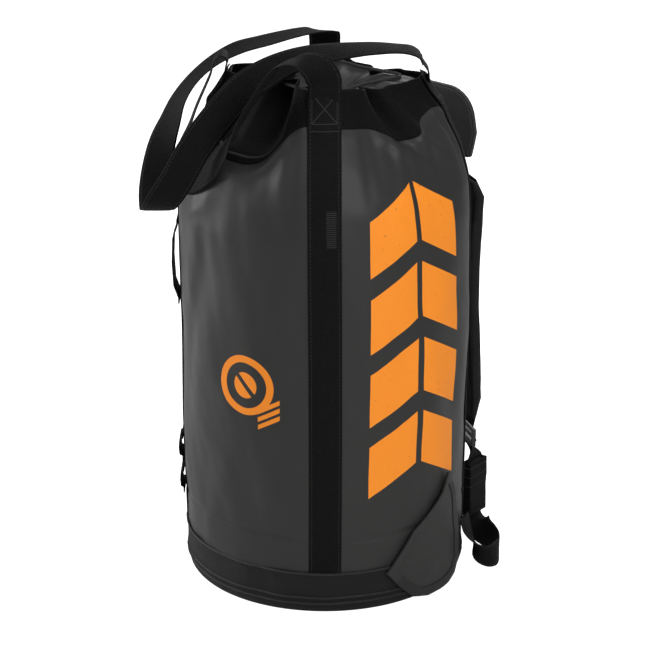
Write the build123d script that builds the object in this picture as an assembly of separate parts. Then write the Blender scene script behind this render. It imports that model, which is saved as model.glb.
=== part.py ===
from build123d import *
import os
from math import sin, cos, radians, degrees, sqrt, pi, hypot, atan2

# ---------------------------------------------------------------------------
# Rope storage bag: a tall round-bottomed haul bag of coated fabric that stands
# on its base, with its mouth drawn in, two long carry loops, a pair of padded
# shoulder straps on its back and a bound wing at each lower side.
#
# Frame: origin at the centre of the round base, on the ground; +Z up;
# -Y is the front panel, +Y the back panel that lies against the wearer,
# +X the wearer's right side. Millimetres.
# ---------------------------------------------------------------------------
os.makedirs("parts", exist_ok=True)

BODY_R = 180.0          # radius of the filled tube
RIM_Z = 650.0           # height of the mouth's rim, drawn in
BASE_H = 54.0           # height of the reinforced base band
WALL = 2.0              # fabric wall, as drawn (coated cloth with its seam tapes)
WEB_W = 40.0            # webbing width of the body straps and carry loops
WEB_T = 1.6             # webbing thickness
STRAP_ANGLES = (-45.0, 45.0, 135.0, -135.0)   # four vertical straps
PAD_W = 56.0            # shoulder pad width
PAD_T = 13.0            # shoulder pad thickness
PAD_ANGLE = 62.0        # where each shoulder strap lies around the body
PAD_TOP = 498.0
PAD_BOTTOM = 172.0
FLAP_H = 92.0           # height of the bound flap that stands behind the mouth
FLAP_W = 168.0
BIND_W = 13.0           # binding width
CORD_D = 4.0            # draw cord
LOCK_R = 9.0            # cord lock barrel

# Height, mean radius and lobe depth of the tube: four lobes stand at the four
# vertical straps, and the cloth between them is pulled in towards the mouth.
SECTIONS = [
    (BASE_H, 178.5, 0.0), (140, 180.3, 0.0), (250, BODY_R + 0.8, 0.0),
    (380, BODY_R + 0.8, 0.0), (480, 179.2, 1.0), (520, 173.0, 4.0),
    (560, 155.0, 10.0), (600, 129.0, 17.0), (630, 106.0, 20.0),
    (RIM_Z, 94.0, 21.0),
]


def ab(z):
    """Mean radius and lobe depth at a height (linear between sections)."""
    s = SECTIONS
    if z <= s[0][0]:
        return s[0][1], s[0][2]
    for (z0, a0, b0), (z1, a1, b1) in zip(s, s[1:]):
        if z <= z1:
            k = (z - z0) / (z1 - z0)
            return a0 + (a1 - a0) * k, b0 + (b1 - b0) * k
    return s[-1][1], s[-1][2]


def rad(z, th):
    a, b = ab(z)
    return a + b * cos(radians(4 * (th - 45.0)))


def ring_wire(z, off=0.0, zz=None):
    """Closed smooth outline of the tube at a height, grown by off."""
    n = 32
    pts = []
    for i in range(n):
        th = 360.0 * i / n
        r = rad(z, th) + off
        pts.append(Vector(r * cos(radians(th)), r * sin(radians(th)), z if zz is None else zz))
    return Wire([Edge.make_spline(pts, periodic=True)])


def tube(levels):
    """Closed solid through (z, off, drawn_z) outlines."""
    return Solid.make_loft([ring_wire(z, off, zz) for z, off, zz in levels], ruled=True)


def save(name, shape, color=None):
    shape.label = name
    export_step(shape, f"parts/{name}.step")


def solids_of(shape):
    s = shape.solids()
    return s[0] if len(s) == 1 else Compound(children=list(s))


def mirror_x(shape):
    return shape.mirror(Plane.YZ)


# --------------------------------------------------------------- tube and base
zs = [s[0] for s in SECTIONS]
outer = tube([(z, 0.0, None) for z in zs])
inner = tube([(zs[0], -WALL, zs[0] - 2.0)] + [(z, -WALL, None) for z in zs[1:-1]]
             + [(zs[-1], -WALL, zs[-1] + 2.0)])
# four cloth panels, joined under the body straps
seams = [Rot(0, 0, a) * Pos(160, 0, 350) * Box(220, 0.3, 760) for a in (-45.0, 45.0, 135.0, -135.0)]
body_shell = outer - inner
for seam in seams:
    body_shell = body_shell - seam
body_shell = Compound(children=sorted(body_shell.solids(), key=lambda q: atan2(q.center().Y, q.center().X)))
save("body_shell", body_shell)


def revolve_rz(points):
    """Ring from a closed (radius, height) outline."""
    wire = Polyline(*[(r, 0, z) for r, z in points], close=True)
    return solids_of(revolve(make_face(wire), Axis.Z, 360))


base_band = revolve_rz([(172.9, 0.0), (176.0, 0.8), (178.1, 4.5), (178.5, 12.0),
                        (178.5, BASE_H - 0.15), (176.4, BASE_H - 0.15), (176.2, 6.0),
                        (174.5, 3.4), (172.9, 3.4)])
save("base_band", base_band)
base_disc = revolve_rz([(0, 0.0), (172.7, 0.0), (172.7, 3.2), (0, 3.2)])
save("base_disc", base_disc)
save("base_seam_piping", revolve_rz([(178.75, 52.6), (180.6, 52.2), (181.6, 53.9), (180.6, 55.6), (178.75, 55.2)]))
save("base_edge_piping", Compound(children=[
    revolve_rz([(178.65, 12.6), (180.1, 12.2), (180.8, 13.4), (180.1, 14.6), (178.65, 14.2)]),
    revolve_rz([(178.65, 20.6), (180.1, 20.2), (180.8, 21.4), (180.1, 22.6), (178.65, 22.2)]),
]))

# ------------------------------------------------------- mouth: hem and collar
HEM_Z = 611.0
grown = tube([(z, 0.15, None) for z in zs] + [(RIM_Z, -1.1, RIM_Z + 2.0)])
hem = solids_of(tube([(HEM_Z, 1.75, None), (630, 1.75, None), (RIM_Z, 1.75, None)]) - grown)
save("mouth_hem", hem)

# Inner collar: a sheet that reaches in from the rim and slopes to a small
# gathered opening at the middle of the mouth.
COLLAR_HOLE = 34.0


def collar_solid():
    """Flat-triangled ring from the hem's inside down to the round hole."""
    n, t = 72, 1.6
    rows = []
    for i in range(n):
        th = 360.0 * i / n
        c, k = cos(radians(th)), sin(radians(th))
        ro = rad(634.0, th) - WALL - 0.45
        rm = (ro + COLLAR_HOLE) / 2
        # section: upper face from the wall to the hole, then the lower face back
        rows.append([Vector(ro * c, ro * k, 634.0), Vector(rm * c, rm * k, 627.0), Vector(COLLAR_HOLE * c, COLLAR_HOLE * k, 622.0),
                     Vector(COLLAR_HOLE * c, COLLAR_HOLE * k, 622.0 - t), Vector(rm * c, rm * k, 627.0 - t), Vector(ro * c, ro * k, 634.0 - t)])
    faces = []
    for i in range(n):
        A, B = rows[i], rows[(i + 1) % n]
        for j in range(6):
            k = (j + 1) % 6
            faces.append(Face(Wire.make_polygon([A[j], A[k], B[k]], close=True)))
            faces.append(Face(Wire.make_polygon([A[j], B[k], B[j]], close=True)))
    s = Solid(Shell(faces))
    if s.volume < 0:
        s = Solid(Shell([-f for f in s.faces()]))
    return s


collar = collar_solid()
save("inner_collar", collar)

# Draw cord: runs round the mouth just inside the hem.
CORD_Z = 641.0
# the stretch that carries the cord lock is straight, on the -X side
cord_path = [(64.0, 0.0), (71.4, 71.4), (0.0, 64.0), (-71.4, 71.4),
             (-63.0, 20.0), (-63.0, -20.0), (-71.4, -71.4), (0.0, -64.0), (71.4, -71.4)]
cord_radii = [20.0, 16.0, 20.0, 16.0, 14.0, 14.0, 16.0, 20.0, 16.0]


def rounded_loop(points, radii, z):
    """Closed loop of straight runs joined by tangent arcs."""
    n = len(points)
    edges = []
    P = [Vector(x, y, z) for x, y in points]
    ins, outs, mids = [], [], []
    for i in range(n):
        a, b, c = P[i - 1], P[i], P[(i + 1) % n]
        u = (a - b).normalized()
        v = (c - b).normalized()
        half = radians(u.get_angle(v)) / 2.0
        t = radii[i] / (sin(half) / cos(half))
        p0, p1 = b + u * t, b + v * t
        bis = (u + v).normalized()
        centre = b + bis * (radii[i] / sin(half))
        mid = centre - bis * radii[i]
        ins.append(p0)
        outs.append(p1)
        mids.append(mid)
    for i in range(n):
        edges.append(Edge.make_three_point_arc(ins[i], mids[i], outs[i]))
        edges.append(Edge.make_line(outs[i], ins[(i + 1) % n]))
    return Wire(edges)


loop = rounded_loop(cord_path, cord_radii, CORD_Z)
start = loop.position_at(0)
tan = loop.tangent_at(0)
section = Face(Wire([Edge.make_circle(CORD_D / 2, Plane(origin=start, z_dir=tan))]))
draw_cord = solids_of(Solid.sweep(section, loop))
print("draw cord: volume / (section x length) =",
      round(draw_cord.volume / (pi * (CORD_D / 2) ** 2 * loop.length), 4), "length", round(loop.length, 1))
save("draw_cord", draw_cord)

# Cord lock: a round barrel whose plunger is pressed down against a spring to
# free the cord. The cord runs through it along Y.
LOCK_X, LOCK_Y = -63.0, 0.0
LOCK_LO, LOCK_HI = 632.0, 650.5
barrel = Pos(LOCK_X, LOCK_Y, (LOCK_LO + LOCK_HI) / 2) * Cylinder(LOCK_R, LOCK_HI - LOCK_LO)
well = Pos(LOCK_X, LOCK_Y, (LOCK_LO + 2 + LOCK_HI + 1) / 2) * Cylinder(6.55, LOCK_HI + 1 - LOCK_LO - 2)
cross = Pos(LOCK_X, LOCK_Y, CORD_Z) * Rot(90, 0, 0) * Cylinder(CORD_D / 2 + 0.35, 30)
save("cord_lock_barrel", solids_of(barrel - well - cross))
plunger = Pos(LOCK_X, LOCK_Y, (638.0 + 654.5) / 2) * Cylinder(6.5, 654.5 - 638.0)
plunger += Pos(LOCK_X, LOCK_Y, 656.0) * Cylinder(8.4, 3.4)
slot = Pos(LOCK_X, LOCK_Y, CORD_Z + 1.9) * Box(CORD_D + 0.7, 30, CORD_D + 5.2)
plunger = solids_of(plunger - slot)
# the lower end is a cup that the spring pushes on
save("cord_lock_plunger", plunger)
# spring: a closed coil drawn as one tube of three turns
helix = Helix(pitch=1.0, height=3.0, radius=4.4, center=(LOCK_X, LOCK_Y, 634.5))
hs = helix.position_at(0)
ht = helix.tangent_at(0)
spring = Solid.sweep(Face(Wire([Edge.make_circle(0.35, Plane(origin=hs, z_dir=ht))])), Wire([helix]))
save("cord_lock_spring", solids_of(spring))


# ----------------------------------------------------------- vertical straps
def radial_plane(th):
    c, s = cos(radians(th)), sin(radians(th))
    return Plane(origin=(0, 0, 0), x_dir=(c, s, 0), z_dir=(s, -c, 0))


def band_in_plane(profile, th, width, shift=0.0):
    """Strip of constant width: a closed (radius, height) outline in the radial
    plane at angle th, extruded to both sides."""
    pl = radial_plane(th)
    face = make_face(pl * Polyline(*profile, close=True))
    if shift:
        c, s = cos(radians(th)), sin(radians(th))
        face = face.moved(Location((-s * shift, c * shift, 0)))
    return solids_of(extrude(face, amount=width / 2, both=True))


def strap_profile(z_lo, z_hi):
    levels = [z_lo] + [z for z in (140, 250, 380, 480, 520, 560, 600) if z_lo < z < z_hi]
    inner_pts = [(rad(z, 45.0) + 0.15, z) for z in levels]
    outer_pts = [(rad(z, 45.0) + 0.15 + WEB_T * (1.0 if z < 500 else 1.25), z) for z in levels]
    # over the hem the strap stands out by the hem's thickness
    inner_pts += [(rad(609.5, 45) + 0.15, 609.5), (rad(610.0, 45) + 2.3, 610.0), (rad(630, 45) + 2.3, 630), (rad(z_hi, 45) + 2.3, z_hi)]
    outer_pts += [(rad(609.0, 45) + 4.3, 609.0), (rad(630, 45) + 4.5, 630), (rad(z_hi, 45) + 4.5, z_hi)]
    return inner_pts + outer_pts[::-1]


def strap_tongue(th):
    # the strap's end above the rim, cut back on the side a swinging carry loop dips towards
    c, s = cos(radians(th)), sin(radians(th))
    k = 1.0 if c > 0 else -1.0
    r_in = rad(RIM_Z, 45) + 2.4
    pts = [(-20.0, RIM_Z - 0.8), (-20.0, 656.2), (0.0, 656.0), (20.0, 650.0), (20.0, RIM_Z - 0.8)]
    pts = [(k * x, z) for x, z in pts]
    pl = Plane(origin=(r_in * c, r_in * s, 0.0), x_dir=(-s, c, 0.0), z_dir=(c, s, 0.0))
    return extrude(pl * make_face(Polyline(*pts, close=True)), 2.0)


for nm, th in zip(("front_right_strap", "rear_right_strap", "rear_left_strap", "front_left_strap"), STRAP_ANGLES):
    save(nm, solids_of(band_in_plane(strap_profile(57.5, RIM_Z - 0.5), th, WEB_W) + strap_tongue(th)))

# Gear loops on the left front strap: one long and two short lengths of the
# same webbing, sewn down at their ends and standing a little proud between.


def loop_profile(z0, z1, proud):
    r0 = max(rad(z0, 45.0), rad(z1, 45.0)) + WEB_T + 0.6
    zm, q = (z0 + z1) / 2, (z1 - z0) * 0.3
    inn = [(r0, z0), (r0, z0 + 8), (r0 + proud * 0.8, zm - q + 2), (r0 + proud, zm), (r0 + proud * 0.8, zm + q - 2), (r0, z1 - 8), (r0, z1)]
    out = [(r + WEB_T, z) for r, z in inn]
    return inn + out[::-1]


loops = []
for z0, z1, pr in ((352, 462, 7.0), (136, 176, 4.5), (92, 130, 4.0)):
    loops.append(band_in_plane(loop_profile(z0, z1, pr), -135.0, WEB_W - 2))
save("gear_loops", Compound(children=loops))

# --------------------------------------------------------------- back panel
def ring_sector(r0, r1, z0, z1, half_w):
    ring = Pos(0, 0, (z0 + z1) / 2) * (Cylinder(r1, z1 - z0) - Cylinder(r0, z1 - z0 + 1))
    box = Pos(0, (r1 + 10) / 2 + 40, (z0 + z1) / 2) * Box(2 * half_w, r1 + 10 - 80 + 80, z1 - z0 + 2)
    return solids_of(ring & box)


save("back_panel", ring_sector(181.3, 184.0, 62.0, 496.0, 54.0))
save("strap_anchor_tape", ring_sector(181.3, 184.0, 500.5, 511.5, 100.0))

# ------------------------------------------------------------ standing flap
# A bound flap sewn across the back under the mouth; it stands up behind the
# rim and folds back over the strap tops.
FLAP_Y0, FLAP_Z0 = 186.0, 513.0
FLAP_TILT = 8.0


def flap_outline(inset=0.0, top_extra=0.0):
    w0, w1, h, r = 72.0 - inset, FLAP_W / 2 - inset, FLAP_H - inset, 38.0 - inset
    pts = [(-w0, 0), (w0, 0), (w1, 34), (w1, h - r)]
    for i in range(1, 9):
        a = radians(90.0 * i / 8)
        pts.append((w1 - r + r * cos(a), h - r + r * sin(a)))
    for i in range(0, 8):
        a = radians(90.0 + 90.0 * i / 8)
        pts.append((-w1 + r + r * cos(a), h - r + r * sin(a)))
    pts += [(-w1, h - r), (-w1, 34)]
    return pts


flap_pl = Plane(origin=(0, FLAP_Y0, FLAP_Z0 + 0.6), x_dir=(1, 0, 0),
                z_dir=(0, -cos(radians(FLAP_TILT)), -sin(radians(FLAP_TILT))))


def plate(points, t, plane, offset=0.0):
    face = make_face(plane.offset(offset) * Polyline(*points, close=True))
    return solids_of(extrude(face, amount=t))


# y of the plane's local frame must run up the flap
up = flap_pl.y_dir
if up.Z < 0:
    flap_pl = Plane(origin=flap_pl.origin, x_dir=(-1, 0, 0), z_dir=flap_pl.z_dir)
flap_panel = plate(flap_outline(2.0), 2.4, flap_pl, -1.2)
flap_full = plate(flap_outline(0.0), 5.2, flap_pl, -2.6)
inside = plate([(x, y) for x, y in flap_outline(BIND_W)], 9, flap_pl, -4.5)
low = plate([(-60, -3), (60, -3), (60, 20), (-60, 20)], 9, flap_pl, -4.5)
flap_core = plate(flap_outline(1.9), 2.6, flap_pl, -1.3)
flap_binding = solids_of(flap_full - inside - low - flap_core)
save("flap_panel", flap_panel)
save("flap_binding", flap_binding)

# ------------------------------------------------------------- side wings
# Bound wing sewn to the tube along a slanting seam, free at its outer edge.
WING = [(11.5, 158), (14.9, 141), (16.7, 127), (19.2, 97), (20.2, 78), (20.9, 50), (20.6, 26),
        (17.5, 12), (12.0, 4.5), (6.6, 2.2), (-1.0, 2.2), (-8.7, 9), (-15.7, 30), (-20.6, 49),
        (-13.5, 78), (-8.8, 97), (1.4, 119), (7.1, 135)]
WING_R0, WING_R1 = 183.2, 187.4


def yz(points, grow=0.0):
    cy = sum(sin(radians(t)) * 185 for t, z in points) / len(points)
    cz = sum(z for t, z in points) / len(points)
    out = []
    for t, z in points:
        y = sin(radians(t)) * 185
        d = hypot(y - cy, z - cz)
        k = 1.0 + grow / d
        out.append((cy + (y - cy) * k, cz + (z - cz) * k))
    return out


def wing_slab(points, r0, r1):
    face = make_face(Polyline(*[(120, y, z) for y, z in points], close=True))
    prism = extrude(face, amount=120, dir=(1, 0, 0))
    ring = Pos(0, 0, 90) * (Cylinder(r1, 200) - Cylinder(r0, 202))
    return solids_of(ring & prism)


wing_panel = wing_slab(yz(WING, -1.5), WING_R0 + 1.0, WING_R1 - 1.0)
wing_outer = wing_slab(yz(WING, 0.0), WING_R0, WING_R1)
wing_hole = wing_slab(yz(WING, -BIND_W), WING_R0 - 2, WING_R1 + 2)
wing_core = wing_slab(yz(WING, -1.4), WING_R0 + 0.95, WING_R1 - 0.95)
wing_binding = solids_of(wing_outer - wing_hole - wing_core)
for nm, s in (("wing_panel", wing_panel), ("wing_binding", wing_binding)):
    save(nm + "_right", s)
    save(nm + "_left", mirror_x(s))

# --------------------------------------------------------- shoulder straps
# Each pad hangs from the anchor tape; its inner face bows clear of the back.
PAD_IN = [(184.6, PAD_TOP), (190.5, 474.0), (187.5, 430.0), (185.4, 380.0), (185.4, 330.0),
          (187.5, 290.0), (190.5, 240.0), (193.0, 200.0), (192.0, PAD_BOTTOM)]


def pad_at(z):
    for (r0, z0), (r1, z1) in zip(PAD_IN, PAD_IN[1:]):
        if z1 <= z <= z0:
            return r0 + (r1 - r0) * (z0 - z) / (z0 - z1)
    return PAD_IN[-1][0]


pad = band_in_plane([(r, z) for r, z in PAD_IN]
                    + [(r + PAD_T * (0.55 if i in (0, 8) else 1.0), z) for i, (r, z) in enumerate(PAD_IN)][::-1],
                    PAD_ANGLE, PAD_W)
save("shoulder_pad_right", pad)
save("shoulder_pad_left", mirror_x(pad))

# webbing sewn down the pad's outer face and on to the buckle
out_pts = [(r + PAD_T * (0.55 if i in (0, 8) else 1.0) + 0.2, z) for i, (r, z) in enumerate(PAD_IN)]
web_in = out_pts + [(198.2, 167.0), (196.8, 160.2)]
web_out = [(r + WEB_T, z) for r, z in web_in]
pad_web = band_in_plane(web_in + web_out[::-1], PAD_ANGLE, 38.0)
save("pad_webbing_right", pad_web)
save("pad_webbing_left", mirror_x(pad_web))

# three-bar buckle under the pad
BUCKLE_Z0, BUCKLE_Z1 = 134.0, 158.0
pl = radial_plane(PAD_ANGLE)


def pad_box(r0, r1, w, z0, z1):
    return band_in_plane([(r0, z0), (r1, z0), (r1, z1), (r0, z1)], PAD_ANGLE, w)


buckle = pad_box(194.5, 199.5, 50.0, BUCKLE_Z0, BUCKLE_Z1)
buckle = buckle - pad_box(190, 204, 41.5, 150.5, 154.5)
buckle = buckle - pad_box(190, 204, 41.5, 140.5, 145.5)
buckle = solids_of(buckle)
# lift tab that tilts the buckle to let the webbing run
tab = pad_box(199.0, 204.5, 30.0, 136.5, 139.6)
buckle = solids_of(buckle + tab)
save("ladder_buckle_right", buckle)
save("ladder_buckle_left", mirror_x(buckle))


# ------------------------------------------------ twisted lengths of webbing
def smooth(stations, times=2):
    """Stations with smoothly interpolated ones between them."""
    out = []
    n = len(stations)
    for i in range(n - 1):
        q = [stations[max(i - 1, 0)], stations[i], stations[i + 1], stations[min(i + 2, n - 1)]]
        for k in range(times):
            t = k / times
            pair = []
            for part in (0, 1):
                P = [Vector(*x[part]) for x in q]
                v = (P[1] * 2 + (P[2] - P[0]) * t + (P[0] * 2 - P[1] * 5 + P[2] * 4 - P[3]) * t ** 2
                     + (P[1] * 3 - P[0] - P[2] * 3 + P[3]) * t ** 3) * 0.5
                pair.append((v.X, v.Y, v.Z))
            out.append(tuple(pair))
    out.append(stations[-1])
    return out


def ribbon(stations, width, thick, level=False):
    """Closed solid of a webbing strip that follows centre points and width
    directions: flat triangles over both faces, split along the same diagonal."""
    stations = smooth(stations)
    C = [Vector(*c) for c, w in stations]
    Wd = [Vector(*w) for c, w in stations]
    n = len(C)
    T = []
    for i in range(n):
        a, b = C[max(i - 1, 0)], C[min(i + 1, n - 1)]
        T.append((b - a).normalized())
    quads = []
    for i in range(n):
        if level:
            # sections kept level, for a short steep piece
            w = Vector(Wd[i].X, Wd[i].Y, 0).normalized()
            nn = Vector(0, 0, -1).cross(w)
        else:
            w = (Wd[i] - T[i] * Wd[i].dot(T[i])).normalized()
            nn = T[i].cross(w).normalized()
        h, t = width / 2, thick / 2
        quads.append([C[i] + w * h + nn * t, C[i] - w * h + nn * t, C[i] - w * h - nn * t, C[i] + w * h - nn * t])
    faces = []

    def tri(a, b, c):
        faces.append(Face(Wire.make_polygon([a, b, c], close=True)))

    for A, B in zip(quads, quads[1:]):
        tri(A[0], A[1], B[1])
        tri(A[0], B[1], B[0])
        tri(A[1], A[2], B[2])
        tri(A[1], B[2], B[1])
        tri(A[2], A[3], B[2])
        tri(A[3], B[3], B[2])
        tri(A[3], A[0], B[0])
        tri(A[3], B[0], B[3])
    for q in (quads[0], quads[-1]):
        tri(q[0], q[1], q[2])
        tri(q[0], q[2], q[3])
    s = Solid(Shell(faces))
    if s.volume < 0:
        s = Solid(Shell([-f for f in s.faces()]))
    run = sum((b - a).length for a, b in zip(C, C[1:]))
    print("webbing", round(run, 1), "long, volume ratio", round(s.volume / (run * width * thick), 3))
    return s


FRONT_HANDLE = [
    ((84.2, -84.2, 659.4), (0.707, 0.707, 0.0)),
    ((84.1, -84.3, 662.0), (0.707, 0.707, 0.0)),
    ((82.2, -86.4, 669.0), (0.68, 0.73, 0.03)),
    ((74.5, -93.5, 679.5), (0.40, 0.90, 0.0)),
    ((61.0, -105.0, 686.0), (0.10, 0.99, 0.06)),
    ((46.0, -118.0, 682.0), (-0.28, 0.95, 0.09)),
    ((36.0, -127.0, 669.0), (-0.36, 0.92, 0.10)),
    ((25.0, -136.0, 648.0), (-0.37, 0.91, 0.14)),
    ((12.0, -145.0, 622.0), (-0.42, 0.90, 0.09)),
    ((2.0, -153.5, 597.0), (-0.56, 0.82, 0.06)),
    ((-13.0, -155.0, 574.0), (-0.82, 0.56, 0.05)),
    ((-34.0, -158.5, 552.0), (-0.93, 0.26, 0.22)),
    ((-59.0, -160.5, 534.0), (-0.68, 0.30, 0.67)),
    ((-85.0, -157.5, 527.0), (-0.05, 0.10, 0.99)),
    ((-109.5, -147.5, 533.0), (0.60, -0.40, 0.69)),
    ((-121.5, -134.0, 551.0), (0.76, -0.60, 0.24)),
    ((-119.5, -117.0, 577.0), (0.74, -0.67, 0.0)),
    ((-111.0, -111.0, 604.0), (0.72, -0.69, 0.0)),
    ((-101.8, -105.2, 628.0), (0.707, -0.707, 0.0)),
    ((-96.5, -99.5, 646.0), (0.707, -0.707, 0.0)),
    ((-94.0, -96.0, 661.5), (0.707, -0.707, 0.0)),
    ((-89.2, -90.4, 669.0), (0.707, -0.707, 0.0)),
    ((-84.8, -84.8, 667.0), (0.707, -0.707, 0.0)),
    ((-83.6, -83.6, 659.4), (0.707, -0.707, 0.0)),
]
REAR_HANDLE = [
    ((83.8, 83.8, 659.4), (-0.707, 0.707, 0.0)),
    ((81.5, 80.5, 668.0), (-0.68, 0.73, 0.03)),
    ((74.0, 72.0, 673.5), (-0.60, 0.80, 0.06)),
    ((61.0, 58.0, 675.5), (-0.58, 0.81, 0.08)),
    ((50.0, 43.0, 676.5), (-0.60, 0.79, 0.14)),
    ((39.0, 22.0, 677.0), (-0.68, 0.70, 0.20)),
    ((27.0, -4.0, 676.5), (-0.76, 0.56, 0.30)),
    ((12.0, -32.0, 674.0), (-0.84, 0.35, 0.40)),
    ((1.0, -60.0, 668.5), (-0.88, 0.10, 0.46)),
    ((-9.0, -88.0, 658.0), (-0.84, -0.20, 0.50)),
    ((-21.0, -116.0, 641.0), (-0.76, -0.45, 0.46)),
    ((-34.0, -144.0, 611.0), (-0.70, -0.60, 0.38)),
    ((-48.0, -172.0, 573.0), (-0.68, -0.66, 0.30)),
    ((-63.0, -189.0, 533.0), (-0.69, -0.69, 0.20)),
    ((-83.0, -196.0, 503.0), (-0.70, -0.70, 0.08)),
    ((-103.0, -187.0, 488.0), (-0.70, -0.70, 0.0)),
    ((-124.0, -171.0, 487.0), (-0.70, -0.70, -0.05)),
    ((-142.0, -156.0, 499.0), (-0.76, -0.64, -0.10)),
    ((-152.0, -143.0, 521.0), (-0.86, -0.50, -0.10)),
    ((-155.0, -131.0, 549.0), (-0.95, -0.30, -0.08)),
    ((-151.0, -120.0, 577.0), (-0.99, 0.0, -0.06)),
    ((-147.5, -108.0, 604.0), (-0.97, 0.24, -0.06)),
    ((-140.5, -90.0, 628.0), (-0.92, 0.38, -0.03)),
    ((-130.5, -64.0, 648.0), (-0.89, 0.45, 0.05)),
    ((-116.5, -35.0, 662.0), (-0.90, 0.40, 0.12)),
    ((-103.0, -4.0, 668.0), (-0.93, 0.36, 0.10)),
    ((-91.0, 26.0, 673.0), (-0.92, 0.40, 0.05)),
    ((-80.0, 50.0, 676.0), (-0.96, 0.27, 0.0)),
    ((-76.0, 66.0, 675.0), (-0.90, -0.25, 0.0)),
    ((-80.0, 78.5, 669.0), (-0.76, -0.60, 0.0)),
    ((-83.8, 83.8, 659.4), (-0.707, -0.707, 0.0)),
]
save("front_handle", ribbon(FRONT_HANDLE, WEB_W, WEB_T + 0.4))
save("rear_handle", ribbon(REAR_HANDLE, WEB_W, WEB_T + 0.4))

# lower webbing of the shoulder strap: from the buckle to the rolled tail, then
# a slack loop on the ground and up to its anchor behind the wing
n62 = (cos(radians(PAD_ANGLE)), sin(radians(PAD_ANGLE)))
UPPER_LENGTH = [
    ((n62[0] * 197.0, n62[1] * 197.0, 131.2), (0.883, -0.469, 0.0)),
    ((93.6, 173.6, 128.0), (0.86, -0.51, 0.0)),
    ((99.0, 172.2, 124.0), (0.71, -0.70, 0.0)),
    ((105.2, 170.2, 120.0), (0.42, -0.91, 0.0)),
    ((109.2, 169.2, 116.6), (0.20, -0.98, 0.0)),
    ((110.0, 169.0, 113.2), (0.14, -0.99, 0.0)),
]
LOWER_LENGTH = [
    ((110.5, 168.5, 35.4), (0.16, -0.98, 0.0)),
    ((110.7, 168.4, 33.2), (0.17, -0.98, 0.0)),
    ((115.0, 166.5, 29.6), (0.25, -0.95, -0.20)),
    ((125.0, 162.0, 25.5), (0.30, -0.75, -0.60)),
    ((143.0, 156.0, 22.5), (0.15, -0.35, -0.93)),
    ((164.0, 149.0, 21.5), (0.0, -0.10, -1.0)),
    ((182.0, 138.0, 21.5), (0.0, 0.0, -1.0)),
    ((192.0, 124.0, 22.0), (0.0, 0.0, -1.0)),
    ((194.0, 109.0, 25.0), (-0.05, 0.15, -0.98)),
    ((189.0, 96.0, 33.0), (-0.15, 0.40, -0.90)),
    ((179.0, 90.0, 46.0), (-0.30, 0.75, -0.60)),
    ((170.5, 88.0, 60.0), (-0.42, 0.88, -0.22)),
    ((166.0, 87.5, 76.0), (-0.47, 0.88, 0.0)),
]
up_len = ribbon(UPPER_LENGTH, 36.0, WEB_T, level=True)
lo_len = ribbon(LOWER_LENGTH, 38.0, WEB_T)
save("upper_tail_webbing_right", up_len)
save("upper_tail_webbing_left", mirror_x(up_len))
save("lower_webbing_right", lo_len)
save("lower_webbing_left", mirror_x(lo_len))

# rolled webbing tail in its sewn keeper
KEEPER_TURN = -82.0      # direction of its flat face
keeper = solids_of(Pos(110, 169, 75) * Rot(0, 0, KEEPER_TURN) * Box(39.0, 14.0, 75.0))
roll_cut = solids_of(Pos(110, 169, 75) * Rot(0, 0, KEEPER_TURN) * Box(35.4, 10.4, 80.0))
keeper_sleeve = solids_of(keeper - roll_cut)
rolled = solids_of(Pos(110, 169, 75) * Rot(0, 0, KEEPER_TURN) * Box(35.0, 10.0, 71.0))
save("webbing_keeper_right", keeper_sleeve)
save("webbing_keeper_left", mirror_x(keeper_sleeve))
save("rolled_tail_right", rolled)
save("rolled_tail_left", mirror_x(rolled))

print("done")
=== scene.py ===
import bpy, math
import numpy as np
from mathutils import Vector, Matrix


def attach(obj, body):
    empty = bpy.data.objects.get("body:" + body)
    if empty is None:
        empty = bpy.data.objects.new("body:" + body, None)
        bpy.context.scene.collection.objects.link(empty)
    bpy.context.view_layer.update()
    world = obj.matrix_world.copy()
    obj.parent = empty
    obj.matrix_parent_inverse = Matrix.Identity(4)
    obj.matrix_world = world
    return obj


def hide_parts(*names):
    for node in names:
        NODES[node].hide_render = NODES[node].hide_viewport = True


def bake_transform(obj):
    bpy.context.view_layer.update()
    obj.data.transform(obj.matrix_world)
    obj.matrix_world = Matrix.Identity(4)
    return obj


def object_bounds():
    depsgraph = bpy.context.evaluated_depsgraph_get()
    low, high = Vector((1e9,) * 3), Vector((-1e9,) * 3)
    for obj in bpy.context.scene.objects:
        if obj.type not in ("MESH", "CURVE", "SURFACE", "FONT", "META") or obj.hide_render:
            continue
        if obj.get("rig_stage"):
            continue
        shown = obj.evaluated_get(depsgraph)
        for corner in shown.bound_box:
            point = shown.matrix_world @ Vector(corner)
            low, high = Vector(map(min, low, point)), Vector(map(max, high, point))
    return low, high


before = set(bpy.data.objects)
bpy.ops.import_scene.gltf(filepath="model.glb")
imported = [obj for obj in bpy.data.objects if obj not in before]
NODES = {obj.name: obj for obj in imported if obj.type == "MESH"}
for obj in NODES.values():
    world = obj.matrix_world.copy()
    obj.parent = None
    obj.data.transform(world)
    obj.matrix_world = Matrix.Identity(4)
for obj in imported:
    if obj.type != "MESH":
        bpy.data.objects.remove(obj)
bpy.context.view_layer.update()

MM = 0.001

# ------------------------------------------------------------------ shader kit


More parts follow.
